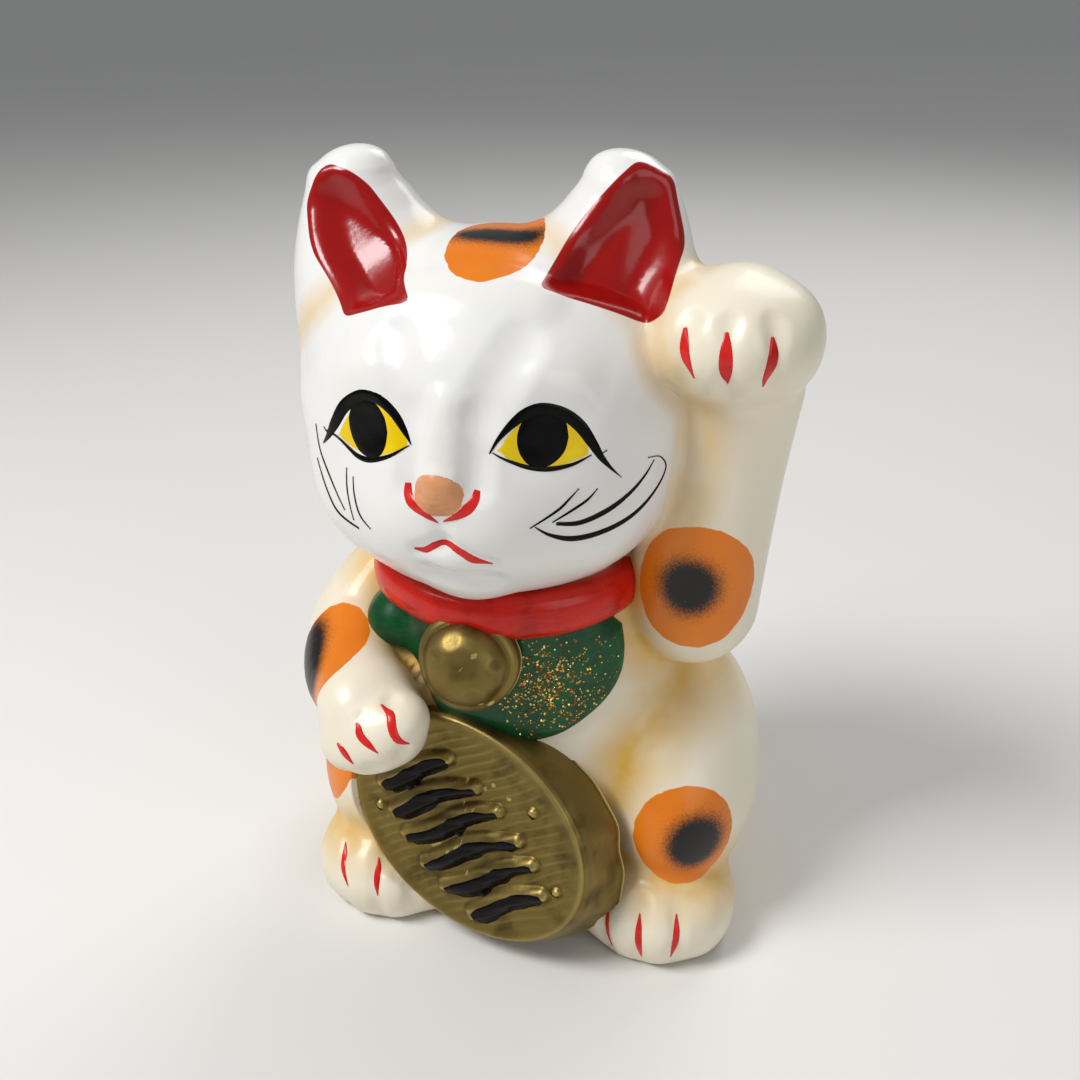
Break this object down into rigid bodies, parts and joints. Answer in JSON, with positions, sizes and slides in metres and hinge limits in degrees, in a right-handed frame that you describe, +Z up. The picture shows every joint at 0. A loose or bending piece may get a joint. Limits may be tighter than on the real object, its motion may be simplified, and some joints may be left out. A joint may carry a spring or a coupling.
{
  "type": "beckoning cat figurine",
  "caption": "Seated ceramic beckoning cat coin bank with a raised paw, collar, bell, bib and a large oval coin held at its front.",
  "frame": {"origin": "centre of the bounding box at the level of the foot rim", "axes": "+Z up, the cat faces -Y, its own left (raised) arm is towards +X"},
  "size_m": [0.132, 0.1268, 0.2065],
  "materials": {
    "white_glaze": "glossy off-white paint over slip-cast ceramic, yellow shading in the creases",
    "red_enamel": "glossy red brushed enamel",
    "green_enamel": "glossy dark green enamel with gold glitter on one half",
    "gold_bronze_paint": "dull antique gold paint over moulded ceramic",
    "bung_rubber": "matt black moulded rubber"
  },
  "bodies": {
    "cat": {"body_casting": "white_glaze", "base_plate": "white_glaze", "head_casting": "white_glaze", "left_ear": "white_glaze", "right_ear": "white_glaze", "raised_arm": "white_glaze", "resting_arm": "white_glaze", "left_haunch": "white_glaze", "right_haunch": "white_glaze", "left_hind_paw": "white_glaze", "right_hind_paw": "white_glaze", "tail": "white_glaze", "collar": "red_enamel", "bib": "green_enamel", "bell": "gold_bronze_paint", "koban_coin": "gold_bronze_paint"},
    "bung": {"base_bung": "bung_rubber"}
  },
  "joints": [
    {"name": "bung_pull", "type": "slide", "parent": "cat", "child": "bung", "axis": [0, 0, -1], "range_m": [0, 0.03]}
  ]
}
